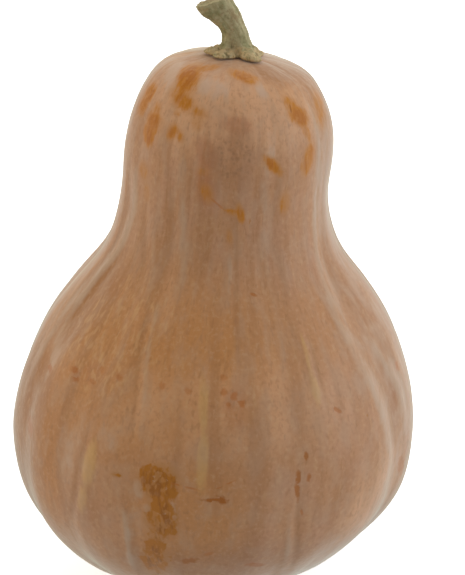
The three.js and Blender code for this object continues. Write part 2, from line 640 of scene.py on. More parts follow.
FRONT_MARKS = {
    Patch.RUB: (
        Mark(-40.2, 196.1, 3.9, 10, -14),
        Mark(-32.8, 204.4, 2.2, 5.7, 29, 0.83),
        Mark(-35.2, 184, 3.7, 6.5, -50, 0.83),
        Mark(-22, 179.4, 2.7, 3.8, -61, 0.63),
        Mark(-21.6, 175.4, 2.3, 3.6, -22, 0.48),
        Mark(-66.9, 181.2, 3.1, 4.5, -1),
        Mark(-68.4, 174.9, 2.7, 3.9, 2, 0.98),
        Mark(-51.8, 176.3, 2.1, 3.4, -22, 0.73),
        Mark(-52.4, 170.6, 3.9, 4.7, 1),
        Mark(-54, 166.1, 3.1, 4.5, -32, 0.98),
        Mark(-35.9, 169.7, 1.9, 3.4, 6, 0.88),
        Mark(-30.5, 168.9, 1.4, 2.8, -28, 0.73),
        Mark(-35.7, 177.4, 1.3, 1.9, -16, 0.58),
        Mark(7.1, 202.7, 3.3, 5.7, -39),
        Mark(-2.5, 205.3, 1.9, 3.4, -28, 0.63),
        Mark(44, 179.6, 3.9, 5, -32),
        Mark(39.7, 185.5, 2.6, 5.1, -14, 0.78),
        Mark(47.7, 171.9, 1.9, 4.6, -23, 0.68),
        Mark(48.5, 161.7, 3, 6, 21, 0.88),
        Mark(24.3, 160.6, 1.9, 4.3, -42, 0.93),
        Mark(69.5, 180.5, 4, 9.2, 20, 0.73),
        Mark(-13.7, 157.3, 2.1, 2.1, -26, 0.5),
        Mark(-11.5, 150.6, 2.1, 3.8, -24, 0.68),
        Mark(7.7, 143.9, 1.4, 3.2, -16, 0.82),
        Mark(3.3, 144.4, 1.1, 3.1, -83, 0.7),
        Mark(32.5, 146.6, 2.3, 4.5, 1, 0.58),
        Mark(2.6, 136, 1.1, 2.7, -8, 0.52),
        Mark(-53.9, 152.8, 2.7, 3, -22, 0.63),
        Mark(-49.6, 146, 1.9, 3.3, -12, 0.48),
    ),
    Patch.CORK: (
        Mark(-14.9, 60, 6.5, 6.4, -10),
        Mark(-13.6, 47.6, 5.3, 8.2, -5, 0.95),
        Mark(-16.3, 27.5, 4.6, 15.9, 6, 0.85),
        Mark(-27, 61.2, 1, 2.2, 87, 0.8),
    ),
    Patch.BLOOM: (
        Mark(-20.2, 57.2, 1.6, 3.2, -14),
        Mark(-17.6, 49.9, 1.2, 2.3, -13),
        Mark(-10.4, 51.2, 0.9, 3.8, -3),
        Mark(-43.2, 64.4, 6, 10, -6, 0.62),
        Mark(-31.6, 71.3, 4.4, 5, 0, 0.6),
        Mark(-16.6, 193.1, 4.9, 6.6, -60, 0.8),
        Mark(19.3, 195.6, 1.8, 6.9, -9, 0.75),
        Mark(-57.6, 195.5, 3.2, 10.5, -30, 0.9),
        Mark(23.4, 168.3, 1.9, 6.8, 0, 0.65),
        Mark(-22.7, 36.1, 3, 19, 8, 0.45),
        # On the right flank, partly painted sheen: the grey of the cold light from the right.
        Mark(72, 150, 9, 34, 0, 0.75),
        Mark(66, 84, 18, 44, 0, 0.5),
        Mark(-63, 95, 7, 12, 0, 0.5),
    ),
    Patch.YELLOW: (
        Mark(-3.4, 86.1, 1.6, 10.3, -6, 0.85),
        Mark(-2.7, 68.4, 1.9, 10.7, 0, 0.95),
        Mark(-36.2, 62.3, 2.8, 9.2, 9, 0.95),
        Mark(-38.8, 48.7, 2.6, 6.5, 14, 0.8),
        Mark(31.5, 99.5, 1.0, 6.5, 1, 0.8),
        Mark(31.7, 88.8, 1.6, 6.2, -5, 0.85),
    ),
    Patch.PORES: (Mark(2, 163, 9, 11, 0, 0.95),),
    Patch.OCHRE: (
        Mark(-22, 92, 46, 27, 0, 0.9),
        Mark(42, 106, 12, 14, 0, 0.5),
        Mark(61, 196, 14, 12, 27),
        Mark(42, 206.6, 7, 8, -64, 0.9),
        Mark(-7, 50, 20, 22, 0, 0.95),
        Mark(-68, 60, 24, 28),
        Mark(-90, 62, 18, 26),
        Mark(74, 182, 10, 14, 0, 0.8),
        Mark(52, 206, 10, 8, -60, 0.8),
        Mark(9, 80, 12, 24, 0, 0.5),
    ),
    Patch.RUSSET: (
        Mark(-13.3, 163.6, 3.4, 6.5, -17, 0.9),
        Mark(3, 176.2, 4.2, 5.4, -74, 0.8),
        Mark(-11.6, 151.6, 3.4, 8, -14, 0.9),
        Mark(6, 86, 5, 8, 0, 0.6),
        Mark(-44, 90, 8, 4, 0, 0.6),
        Mark(-76, 206, 7, 4, -20, 0.7),
    ),
    Patch.BROWN: (
        Mark(72, 192, 12, 18, 0, 0.7),
        Mark(-96, 60, 16, 26, 0, 0.9),
        Mark(-76, 62, 22, 26),
        Mark(-40, 44, 10, 12, 0, 0.4),
        Mark(40, 44, 6, 16, 0, 0.6),
        # Darker towards the bottom.
        Mark(0, 24, 40, 12, 0, 0.5),
        Mark(66, 84, 6, 26, 0, 0.5),
        # Painted shade on the upper left of the bulb.
        Mark(-62, 108, 10, 16, 0, 0.75),
        Mark(12, 64, 22, 10, 0, 0.25),
        # Painted shade on the top and the right of the shoulder, to dim the lamps' light there.
        Mark(10, 213, 30, 6, 0, 0.45),
        Mark(48, 204, 10, 9, -60, 0.9),
    ),
    Patch.PALE: (
        Mark(2, 180, 28, 18),
        Mark(4, 82, 46, 15, 0, 0.58),
        Mark(-30, 114, 16, 12, 0, 0.35),
        # Painted bounce light from the table, low on the right.
        Mark(56, 42, 18, 16, 0, 0.8),
    ),
    Patch.FLECKS: (Mark(-38, 100, 26, 22),),
}


@dataclass(frozen=True)
class Strewing:
    """Patches strewn over the sides and the back, each range being from least to most."""

    patch: Patch
    count: int
    along: Pair  # millimetres
    half_width: Pair  # millimetres
    half_length: Pair  # millimetres
    strength: Pair
    facing: Pair = (92.0, 270.0)  # degrees
    lean: Pair = (-25.0, 25.0)  # degrees

    def strew(self, chance: Random) -> tuple[Mark, ...]:
        """Draw the patches."""
        ranges = (self.facing, self.along, self.half_width, self.half_length, self.lean, self.strength)
        return tuple(Mark(*(chance.uniform(*span) for span in ranges)) for _ in range(self.count))


STREWINGS = (
    Strewing(Patch.RUB, 15, (158, 206), (1.2, 3.0), (2, 6), (0.75, 1)),
    Strewing(Patch.RUB, 5, (112, 150), (0.8, 1.6), (1.5, 3), (0.65, 0.85)),
    Strewing(Patch.CORK, 4, (20, 62), (1.6, 4.2), (3, 9), (0.7, 1)),
    Strewing(Patch.BLOOM, 8, (45, 190), (3, 7), (6, 14), (0.5, 0.9)),
    Strewing(Patch.YELLOW, 6, (45, 100), (0.9, 1.5), (7, 12), (0.75, 1), lean=(-8, 8)),
    Strewing(Patch.OCHRE, 5, (70, 125), (14, 30), (14, 26), (0.6, 0.9)),
    Strewing(Patch.BROWN, 5, (20, 80), (6, 14), (14, 26), (0.5, 0.8)),
    Strewing(Patch.FLECKS, 4, (80, 120), (14, 26), (12, 20), (0.8, 1)),
    Strewing(Patch.PORES, 3, (60, 175), (6, 9), (6, 9), (0.8, 1)),
)

# Small marks, drawn finer than the mesh.
SCARS = (
    Mark(-4.7, 146.8, 0.4, 3.3, -52, 0.4),
    Mark(1, 55.3, 0.75, 3.6, 90),
    Mark(2.8, 55.5, 1.2, 1.9, -59),
    Mark(-8.9, 60.4, 0.3, 2.2, -80, 0.55),
    Mark(-5.4, 59.5, 0.35, 2.2, -78, 0.5),
    Mark(-1.7, 58.9, 0.3, 2.2, -84, 0.5),
    Mark(1.4, 59.3, 0.3, 1.8, 64, 0.5),
    Mark(4.5, 61.2, 0.3, 2.4, 65, 0.45),
    Mark(-5.5, 27.9, 1.6, 2.7, 78, 0.8),
    Mark(0.1, 32.2, 0.9, 1.8, 70, 0.45),
    Mark(15.1, 23.1, 1.5, 3.9, -55, 0.7),
    Mark(24.5, 60.5, 1, 2.2, 3, 0.8),
    Mark(24.4, 55.8, 0.85, 3.4, -7, 0.8),
    Mark(26.3, 47.7, 0.5, 1.1, -16, 0.5),
    Mark(26.7, 67.8, 0.7, 1.4, 1, 0.8),
    Mark(27.6, 60, 0.8, 1.4, -2, 0.7),
    Mark(72.1, 48.1, 2, 4.6, -34, 0.5),
    Mark(73.5, 84.6, 1.6, 1.7, 14, 0.5),
    Mark(-65, 65.7, 2.6, 3.4, -66, 0.5),
    Mark(2.6, 90.4, 1.0, 1.0, -55, 0.46),
    Mark(5.6, 89.1, 1.1, 1.1, -48, 0.5),
    Mark(7.8, 87.1, 0.9, 1.3, -58, 0.5),
    Mark(4, 86.7, 0.8, 1.0, -42, 0.46),
    Mark(2.3, 94.5, 0.9, 1.1, -61, 0.34),
    Mark(-16.8, 91.2, 0.9, 1.3, -69, 0.34),
    Mark(-8.5, 90.4, 0.9, 1.4, -53, 0.34),
    Mark(38.2, 80.7, 0.6, 1.7, -55, 0.6),
    Mark(38.3, 183.6, 0.35, 2.1, 2, 0.8),
    Mark(-49.7, 89.7, 1.0, 1.9, -84, 0.6),
    Mark(-47.8, 87.4, 0.9, 1.6, -79, 0.6),
    Mark(-62.4, 86.2, 0.9, 2.1, -80, 0.52),
    Mark(-39, 92.2, 0.9, 1.4, -79, 0.44),
    Mark(-31.4, 91.4, 0.9, 1.2, -71, 0.4),
    Mark(-40.8, 88, 0.7, 1.4, -76, 0.4),
    Mark(14.8, 117.8, 0.5, 1.1, -63, 0.6),
    Mark(104, 66, 0.7, 1.4, 10, 0.8),
    Mark(112, 98, 0.5, 1.1, -40, 0.6),
    Mark(131, 52, 0.4, 3.2, 84, 0.8),
    Mark(149, 84, 0.6, 1.3, 20, 0.7),
    Mark(166, 38, 0.5, 2.6, -70, 0.8),
    Mark(178, 92, 0.7, 1.2, 50, 0.7),
    Mark(193, 62, 0.4, 3.6, 4, 0.8),
    Mark(214, 88, 0.6, 1.2, -30, 0.7),
    Mark(229, 45, 0.6, 2.0, 88, 0.8),
    Mark(251, 76, 0.7, 1.4, 15, 0.7),
    Mark(262, 104, 0.4, 1.0, -60, 0.6),
)


@dataclass(frozen=True)
class WaxedRind:
    """The rind of a ripe butternut: hard tan skin under a thin dull film of its own wax.

    The rind is streaked from top to bottom, as it grew. The film greys it and scatters the
    light; where it is rubbed off the skin is orange and a little shinier. Its ridge crests carry a
    painted highlight and its grooves painted shade; a few patches carry painted shade or painted
    bounce light.
    """

    ground: str = "#c69064"
    scars: tuple[str, str] = ("#bc660e", "#a86010")  # faint ones, and deep ones
    scar_strengths: Pair = (0.5, 0.8)  # of faint ones, and of deep ones
    scar_edge: Pair = (2.4, 1.4)  # half widths at which one starts to show, and shows most
    scar_fray: float = 1.8  # half widths by which the edge is frayed
    roughness: Pair = (0.5, 0.38)  # of the film, and of bare rind
    specular: float = 0.25
    sheen: float = 1.0
    sheen_roughness: float = 0.34
    sheen_tint: str = "#f8fcee"
    streak_rise: float = 0.04  # millimetres
    film_rise: float = 0.06  # millimetres
    pore_rise: float = 0.05  # millimetres
    scar_depth: float = 0.08  # millimetres
    # The rind's real streaks and flecks are 1 to 2 mm wide. Its pores and the crumbs of its cork are
    # only 0.2 to 0.5 mm: they are drawn coarser, so that they show at all.
    weaves: tuple[Weave, ...] = (
        Weave("mottle", True, 9, 18, 3),
        Weave("bands", True, 5, 60, 2),
        Weave("speckle", False, 1.5, 1.5, 2),
        Weave("striae", True, 1.3, 6, 3),
        Weave("flecks", True, 1.4, 3, 1),
        Weave("dark_flecks", True, 1.1, 2.6, 1),
        Weave("ragged", True, 2.4, 4.2, 4),
        Weave("pores", False, 2.1, 2.1, dotted=True),
        Weave("film", True, 4, 9, 4),
        Weave("crumbs", False, 1.8, 1.8, 3),
    )
    layers: tuple[Layer, ...] = (
        Layer("#cb9874", None, "mottle", 0, 0.42, 0.68, 0.7),
        Layer("#cb8a4a", Patch.OCHRE, "mottle", 0.8, 0.5, 1.4, 0.75),
        # Darker rind, and painted shade in places.
        Layer("#a06835", Patch.BROWN, "mottle", 0.8, 0.4, 1.4, 0.7),
        # Lighter, and painted bounce light low on the right.
        Layer("#e4ae82", Patch.PALE, "mottle", 0.8, 0.5, 1.4, 0.8),
        Layer("#bc7444", Patch.RUSSET, "film", 0.8, 0.6, 1.4, 0.6),
        Layer("#a87245", Patch.SIDES, "bands", 1, 1.46, 1.72, 0.4),
        Layer("#d6a977", Patch.SIDES, "striae", 1, 1.52, 1.78, 0.26),
        Layer("#a9754a", None, "speckle", 0, 0.5, 0.72, 0.24),
        Layer("#dcb68e", None, "speckle", 0, 0.48, 0.28, 0.2),
        Layer("#d8a872", Patch.FLECKS, "flecks", 2.0, 1.95, 2.35, 0.46),
        Layer("#a67044", None, "dark_flecks", 0, 0.56, 0.74, 0.3),
        Layer("#dcae6a", Patch.YELLOW, "striae", 0.6, 0.6, 1.3, 0.6),
        Layer("#c4a082", None, "film", 0, 0.4, 0.72, 0.35),
        # Thick grey wax, and on the right flank painted sheen.
        Layer("#d2b196", Patch.BLOOM, "film", 1.2, 0.8, 1.6, 0.65),
        # Painted shade in the grooves beside the ridges.
        Layer("#996636", Patch.GROOVE, "film", 0.6, 0.4, 1.3, 0.35),
        # Painted highlight along the ridge crests, greyed like the wax.
        Layer("#cbb298", Patch.CREST, "film", 0.6, 0.5, 1.3, 0.45),
        Layer("#aa744a", Patch.PORES, "film", 1.2, 0.9, 1.6, 0.45),
        Layer("#8a6444", Patch.PORES, "crumbs", 1.6, 1.7, 2.2, 0.4),
        Layer("#7c5c42", Patch.PORES, "pores", 1.0, 1.5, 1.9, 0.24),
        Layer("#ca863a", Patch.RUB, "film", 0.8, 0.45, 1.2, 0.6),
        Layer("#c87c08", Patch.RUB, "ragged", 1.5, 1.15, 1.8, 0.95),
        Layer("#b86800", Patch.RUB, "film", 1.1, 1.2, 1.7, 0.8),
        Layer("#a85a08", Patch.RUB, "striae", 1.8, 1.8, 2.2, 0.3),
        Layer("#d89a50", Patch.RUB, "crumbs", 1.8, 1.85, 2.15, 0.3),
        Layer("#b87c38", Patch.CORK, "film", 0.9, 0.6, 1.3, 0.6),
        Layer("#b46e00", Patch.CORK, "ragged", 2.2, 1.6, 1.95, 0.97),
        Layer("#8e5000", Patch.CORK, "striae", 1.7, 1.6, 1.95, 0.65),
        Layer("#c88e50", Patch.CORK, "flecks", 1.8, 1.85, 2.1, 0.5),
        Layer("#c8a078", Patch.CORK, "crumbs", 1.2, 1.66, 1.86, 0.6),
        Layer("#8c6238", Patch.BUTTON, "ragged", 0.8, 0.7, 1.0, 0.9),
    )

    def material(self) -> bpy.types.Material:
        """Make the rind's material, which reads the fields of the fruit's mesh.

        Returns:
            The material.
        """
        material, tree = start_material("waxed_rind")
        woven = add_weaves(tree, self.weaves)
        colour, shares = lay_colours(tree, self.ground, self.layers, woven)
        colour, scarred = self.draw_scars(tree, colour, woven["crumbs"])
        film, bare = self.roughness
        roughness = add(
            tree,
            "ShaderNodeMapRange",
            {"Value": shares[Patch.RUB], "To Min": film, "To Max": bare},
        )
        sides = add(tree, "ShaderNodeAttribute", attribute_name=Patch.SIDES.value).outputs["Fac"]
        streaks = add(tree, "ShaderNodeMath", {0: woven["striae"], 1: sides}, operation="MULTIPLY")
        relief = (
            (streaks.outputs["Value"], self.streak_rise),
            (woven["film"], self.film_rise),
            (woven["pores"], self.pore_rise),
            (scarred, -self.scar_depth),
        )
        skin = add(
            tree,
            "ShaderNodeBsdfPrincipled",
            {
                "Base Color": colour,
                "Roughness": roughness.outputs["Result"],
                "Specular IOR Level": self.specular,
                "Sheen Weight": self.sheen,
                "Sheen Roughness": self.sheen_roughness,
                "Sheen Tint": linear(self.sheen_tint),
                "Normal": stack_relief(tree, relief),
            },
        )
        add(tree, "ShaderNodeOutputMaterial", {"Surface": skin.outputs["BSDF"]})
        return material

    def draw_scars(self, tree: Tree, colour: Socket, frays: Socket) -> tuple[Socket, Socket]:
        """Draw the scar that each face is nearest to.

        Args:
            tree: the material's tree.
            colour: the rind's colour under the scars.
            frays: the random field that frays their edges.

        Returns:
            The rind's colour with the scars, and how far each place is scarred, from 0 to 1.
        """
        nearest = add(tree, "ShaderNodeAttribute", attribute_name="scar").outputs["Vector"]
        across, lengthways, strength = add(tree, "ShaderNodeSeparateXYZ", {"Vector": nearest}).outputs
        place = add(tree, "ShaderNodeCombineXYZ", {"X": across, "Y": lengthways}).outputs["Vector"]
        out = add(tree, "ShaderNodeVectorMath", {0: place}, operation="LENGTH").outputs["Value"]
        frayed = add(
            tree, "ShaderNodeMath", {0: frays, 1: self.scar_fray, 2: out}, operation="MULTIPLY_ADD"
        ).outputs["Value"]
        outside, inside = self.scar_edge
        share = add(
            tree,
            "ShaderNodeMapRange",
            {"Value": frayed, "From Min": outside, "From Max": inside, "To Max": strength},
            interpolation_type="SMOOTHSTEP",
        ).outputs["Result"]
        slight, full = self.scar_strengths
        depth = add(tree, "ShaderNodeMapRange", {"Value": strength, "From Min": slight, "From Max": full})
        faint, deep = (linear(tint) for tint in self.scars)
        tint = add(
            tree,
            "ShaderNodeMix",
            {MIX_SHARE: depth.outputs["Result"], MIX_UNDER: faint, MIX_OVER: deep},
            data_type="RGBA",
        ).outputs[MIXED]
        scarred = add(
            tree,
            "ShaderNodeMix",
            {MIX_SHARE: share, MIX_UNDER: colour, MIX_OVER: tint},
            data_type="RGBA",
        )
        return scarred.outputs[MIXED], share


@dataclass
class Fruit:
    """The fruit's skin. Millimetres and degrees."""

    bulb: Pair = (70.5, 55.5)  # radius and height of its widest section
    neck: Pair = (36.0, 143.0)  # radius of the neck, and where it starts
    shoulder: float = 185.0  # height at which the neck has rounded over
    girth: float = 50.0  # radius at which the skin's own map is unrolled
    ring: Pair = (12.0, 22.0)  # radii of the flat ring that it stands on
    ring_margin: float = 1.0  # how far past the ring its vertices may lie
    ring_height: float = 2.0  # and how far up
    ring_fade: float = 14.0  # how far outside the ring the relief is at its full height
    contact: float = 0.5  # height under which the solid's vertices mark where it stands
    button: Pair = (4.4, 6.0)  # radii between which the corky end fades out
    ends: Pair = (12.0, 34.0)  # radii between which streaks start
    seed: int = 11  # of the patches that are strewn
    subdivisions: int = 2
    quad_angle: float = 20.0  # between two triangles of one quad, at most
    lumps: tuple[tuple[Triple, float], ...] = (
        ((26, 26, 40), 0.35),  # size of the dents, and how deep they are
        ((9, 9, 22), 0.14),
        ((3.2, 3.2, 40), 0.05),
    )
    ridges: tuple[Ridge, ...] = (
        Ridge(
            (
                (61, 56),
                (58.1, 64),
                (55.4, 79),
                (51.2, 92),
                (50.2, 105),
                (52.5, 117),
                (56, 134),
                (58, 144),
                (58.5, 152),
                (58, 165),
                (58.8, 172),
                (54.9, 178),
            ),
            0.23,
            4.4,
            0.5,
            0.8,
            run_out=8,
        ),
        Ridge(((70, 66), (69.5, 78), (66, 88), (62.5, 97)), 0.32, 4.2, 0.6, 0.9, run_out=8),
        Ridge(((23.4, 95), (23.3, 118), (22, 134), (20.5, 152), (21, 170)), 0.15, 3.0, 0.5, 0.5),
        Ridge(((32.3, 81), (30.9, 95), (31.7, 106)), 0.25, 2.0, 0.7, 0.2),
        Ridge(((3.5, 114), (3.7, 125), (3, 135)), 0.2, 1.6, 0.5, 0.7),
        Ridge(((-2.3, 58), (-3.1, 79), (-4.3, 96)), 0.3, 1.8, 0.5, 0.2),
        Ridge(((-21, 74), (-21.4, 86), (-24.8, 103), (-26.9, 115)), 0.3, 2.2, -0.6, 0.6),
        Ridge(((-18.8, 115), (-19.2, 124), (-24.3, 147), (-25.3, 158), (-30, 168)), 0.3, 3.6, -0.5, 0.6),
        Ridge(((-33.2, 114), (-34, 121), (-40.6, 134), (-43.6, 144)), 0.3, 3.0, -0.6, 0.5),
        Ridge(
            ((-67.6, 97), (-69, 106), (-67.6, 117), (-61.6, 128), (-58.5, 139), (-62, 153)), 0.32, 3.6, -0.8
        ),
        Ridge(((-71.9, 75), (-71.9, 88), (-73, 105), (-76, 115)), 0.2, 4, -0.6, 0.6),
        Ridge(((-41.5, 38), (-38.1, 49), (-35.4, 66), (-35, 71)), 0.3, 3.2, -1.0, 0.2),
        Ridge(((-25.3, 22), (-24.1, 41), (-24.8, 50)), 0.3, 2.0, 0.5),
        Ridge(((26.9, 20), (22.6, 44), (22.7, 53)), 0.25, 2.2, 0.9, 0.6),
        Ridge(((100, 30), (96, 70), (98, 110), (95, 140)), 0.4, 2.6, 0.8),
        Ridge(((128, 60), (126, 100), (131, 140), (129, 176)), 0.35, 2.4, -0.7),
        Ridge(((158, 24), (161, 64), (156, 112)), 0.4, 2.2, 0.8),
        Ridge(((171, 120), (174, 150), (170, 178)), 0.3, 2.6, -0.6, 0.8),
        Ridge(((196, 36), (193, 80), (197, 124), (194, 165)), 0.45, 2.4, 0.8),
        Ridge(((222, 70), (226, 104), (221, 146)), 0.35, 2.2, -0.7),
        Ridge(((252, 28), (249, 76), (254, 120), (251, 170)), 0.4, 2.6, 0.8),
    )
    furrows: tuple[Pair, ...] = (  # the solid's, on the neck: facing and depth
        (-155, 0.7),
        (-120, 0.8),
        (-92, 0.6),
        (-62, 0.7),
        (-38, 0.5),
        (-25, 0.5),
        (-3, 0.2),
        (22, 0.9),
        (37, 0.2),
        (59, 1.0),
        (97, 0.8),
        (132, 0.7),
        (170, 0.8),
    )
    furrow_half_width: float = 15.0  # degrees
    furrow_rounding: float = 0.12  # of their bottoms, as a share of that
    furrow_fill: float = 0.7  # how much of their depth is lost on the shoulder
    filled_from: Pair = (6.0, 18.0)  # radii over which that starts
    filled_to: Pair = (24.0, 34.0)  # radii over which it ends
    axis: GrowthAxis = field(init=False)
    skin: bpy.types.Object = field(init=False)

    def build(self) -> None:
        """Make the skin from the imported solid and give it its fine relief."""
        self.skin = refined_copy("fruit", "fruit_skin", self.subdivisions, self.quad_angle)
        mesh = self.skin.data
        points = read_points(mesh)
        low = points[points[:, 2] < self.contact]
        self.axis = GrowthAxis(tuple((low[:, :2].max(0) + low[:, :2].min(0)) / 2))
        at = self.map_skin(points)
        relief = self.relief(at, points)
        points += relief[:, None] * read_points(mesh, "normal")
        inner, outer = self.ring
        on_ring = (at.radius > inner - self.ring_margin) & (at.radius < outer + self.ring_margin)
        points[on_ring & (at.height < self.ring_height), 2] = 0
        points[:, 2] = np.maximum(points[:, 2], 0)
        move_points(mesh, points)
        keep_field(mesh, "grain", self.grain(at) * MM)
        self.keep_patches(at)
        self.keep_scars(at)

    def map_skin(self, points: np.ndarray) -> SkinMap:
        """Tell where each vertex lies on the fruit.

        Args:
            points: the vertices, in millimetres.

        Returns:
            Their map.
        """
        facing, height, radius = self.axis.locate(points)
        below = 1 - smooth_step(height, 0, self.bulb[1])
        above = smooth_step(height, self.neck[1], self.shoulder)
        along = height - below * (self.bulb[0] - radius) + above * (self.neck[0] - radius)
        return SkinMap(facing, height, radius, along)

    def relief(self, at: SkinMap, points: np.ndarray) -> np.ndarray:
        """Work out how far the skin stands out from its plain form at each vertex.

        Args:
            at: the skin's map.
            points: the vertices, in millimetres.

        Returns:
            Millimetres, along the normals.
        """
        grain = self.grain(at)
        relief = sum(depth * noise_at(grain, size) for size, depth in self.lumps)
        relief = relief * smooth_step(at.radius, *self.ends) + sum(ridge.lift(at) for ridge in self.ridges)
        relief += self.fill_furrows(at)
        outer = self.ring[1]
        standing = (at.height < self.bulb[1]) * (1 - smooth_step(at.radius, outer, outer + self.ring_fade))
        return relief * (1 - standing)

    def fill_furrows(self, at: SkinMap) -> np.ndarray:
        """Work out how far the furrows between the ribs are filled round the stem.

        Args:
            at: the skin's map.

        Returns:
            Millimetres, along the normals.
        """
        filled = np.zeros(len(at.facing))
        for facing, depth in self.furrows:
            shares = turn_between(at.facing, facing) / self.furrow_half_width
            filled += depth * np.clip(1 - np.hypot(shares, self.furrow_rounding), 0, 1) ** 2
        near_stem = smooth_step(at.radius, *self.filled_from)
        near_stem *= 1 - smooth_step(at.radius, *self.filled_to)
        return self.furrow_fill * filled * near_stem * (at.height > self.neck[1])

    def grain(self, at: SkinMap) -> np.ndarray:
        """Unroll the skin on an even cylinder, so that patterns can follow its meridians."""
        turn = np.radians(at.facing)
        return np.stack([self.girth * np.sin(turn), -self.girth * np.cos(turn), at.along], axis=1)

    def keep_scars(self, at: SkinMap) -> None:
        """Store where each face's corners lie in the scar that is nearest to it.

        Within a face this runs evenly, so that a scar's edge is sharper than the mesh is fine.

        Args:
            at: the skin's map.
        """
        mesh = self.skin.data
        corners = np.empty(len(mesh.loops), dtype=int)
        mesh.loops.foreach_get("vertex_index", corners)
        counts = np.empty(len(mesh.polygons), dtype=int)
        mesh.polygons.foreach_get("loop_total", counts)
        firsts = np.repeat(np.cumsum(counts) - counts, counts)
        here = SkinMap(*(getattr(at, each.name)[corners] for each in fields(at)))
        best = np.full(len(corners), np.inf)
        scar = np.zeros((len(corners), 3))
        for mark in SCARS:
            across, lengthways = mark.place(here)
            distance = np.hypot(across, lengthways)[firsts]
            nearer = distance < best
            best[nearer] = distance[nearer]
            own = np.stack([across, lengthways, np.full(len(corners), mark.strength)], axis=1)
            scar[nearer] = own[nearer]
        keep_field(mesh, "scar", scar, "CORNER")

    def keep_patches(self, at: SkinMap) -> None:
        """Store how deep inside a patch of each kind each vertex is.

        Args:
            at: the skin's map.
        """
        mesh = self.skin.data
        chance = Random(self.seed)
        marks = {patch: list(placed) for patch, placed in FRONT_MARKS.items()}
        for strewing in STREWINGS:
            marks[strewing.patch] += strewing.strew(chance)
        for patch, placed in marks.items():
            keep_field(mesh, patch.value, np.max([mark.depth(at) for mark in placed], axis=0))
        crests, grooves = zip(*(ridge.trace(at) for ridge in self.ridges))
        pale = np.array([[ridge.pale] for ridge in self.ridges])
        deep = np.array([[abs(ridge.groove)] for ridge in self.ridges])
        # Painted highlight along the ridge crests.
        keep_field(mesh, Patch.CREST.value, np.max(pale * crests, axis=0))
        # Painted shade in the grooves beside the ridges.
        keep_field(mesh, Patch.GROOVE.value, np.max(deep * grooves, axis=0))
        keep_field(mesh, Patch.SIDES.value, smooth_step(at.radius, *self.ends))
        corky = (1 - smooth_step(at.radius, *self.button)) * (at.height < self.bulb[1])
        keep_field(mesh, Patch.BUTTON.value, corky)

    def dress(self) -> None:
        """Give the skin its finish and its place in the part."""
        self.skin.data.materials.append(WaxedRind().material())
        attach(self.skin, BODY)
        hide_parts("fruit")


# ---- Stem ----


class StemField(Enum):
    """What a place on the stem is, by the name of the field that keeps it."""

    FOOT = "foot"  # it spreads over the fruit there
    CREASE = "crease"  # it is sunk between knobs or fibres, and darkened there with painted shade
    CUT = "cut"  # it is the bare end, where the stem was cut


@dataclass(frozen=True)
class DriedStalk:
    """A cut squash stem, dried hard: grey-green woody skin with pale fibres, corky at its foot, and painted
    shade where it is creased.
    """

    ground: str = "#b4a87e"
    roughness: float = 0.85
    specular: float = 0.2
    weaves: tuple[Weave, ...] = (
        Weave("fibres", True, 0.8, 9, 3),
        Weave("grains", False, 0.9, 0.9, 2),
        Weave("cells", False, 1.7, 1.7, 3),
        Weave("blotches", False, 4.5, 4.5, 3),
    )
    rises: tuple[tuple[str, float], ...] = (  # the field, and its height in millimetres
        ("fibres", 0.2),
        ("cells", 0.25),
        ("grains", 0.15),
    )
    layers: tuple[Layer, ...] = (
        Layer("#bfb58e", None, "fibres", 0, 0.5, 0.68, 0.5),
        Layer("#8a8658", None, "blotches", 0, 0.46, 0.66, 0.7),
        Layer("#94784f", None, "blotches", 0, 0.48, 0.32, 0.6),
        Layer("#ac9066", None, "cells", 0, 0.56, 0.72, 0.5),
        Layer("#cbae80", StemField.FOOT, "cells", 3.0, 1.8, 2.6, 0.9),
        Layer("#d8c090", StemField.FOOT, "blotches", 3.0, 2.3, 2.9, 0.6),
        Layer("#94824c", StemField.FOOT, "grains", 3.0, 2.45, 2.95, 0.45),
        # Painted shade where the stem is sunk between knobs or fibres.
        Layer("#5f5534", StemField.CREASE, "cells", 1.2, 0.7, 1.5, 0.75),
        Layer("#6d6644", None, "grains", 0, 0.55, 0.72, 0.4),
        Layer("#cabf9c", None, "grains", 0, 0.45, 0.3, 0.35),
        Layer("#b6b976", StemField.CUT, "cells", 0.4, 0.7, 0.9, 0.85),
    )

    def material(self) -> bpy.types.Material:
        """Make the stem's material, which reads the fields of the stem's mesh.

        Returns:
            The material.
        """
        material, tree = start_material("dried_stalk")
        woven = add_weaves(tree, self.weaves)
        colour, _ = lay_colours(tree, self.ground, self.layers, woven)
        skin = add(
            tree,
            "ShaderNodeBsdfPrincipled",
            {
                "Base Color": colour,
                "Roughness": self.roughness,
                "Specular IOR Level": self.specular,
                "Normal": stack_relief(tree, tuple((woven[name], rise) for name, rise in self.rises)),
            },
        )
        add(tree, "ShaderNodeOutputMaterial", {"Surface": skin.outputs["BSDF"]})
        return material


@dataclass(frozen=True)
class Knuckle:
    """A round swelling on top of the stem's foot, or a hollow if its rise is below nothing."""

    facing: float  # degrees
    distance: float  # millimetres out from the middle of the foot
    half_width: float  # millimetres
    half_length: float  # millimetres, outwards
    rise: float  # millimetres

    def lift(self, own: np.ndarray) -> np.ndarray:
        """Work out how far it raises the stem.

        Args:
            own: places in the stem's own frame.

        Returns:
            Millimetres for each place.
        """
        turn = radians(self.facing)
        outward = own[:, 0] * sin(turn) - own[:, 1] * cos(turn)
        aside = own[:, 0] * cos(turn) + own[:, 1] * sin(turn)
        off = np.hypot(aside / self.half_width, (outward - self.distance) / self.half_length)
        return self.rise * swell(np.minimum(off, 1))


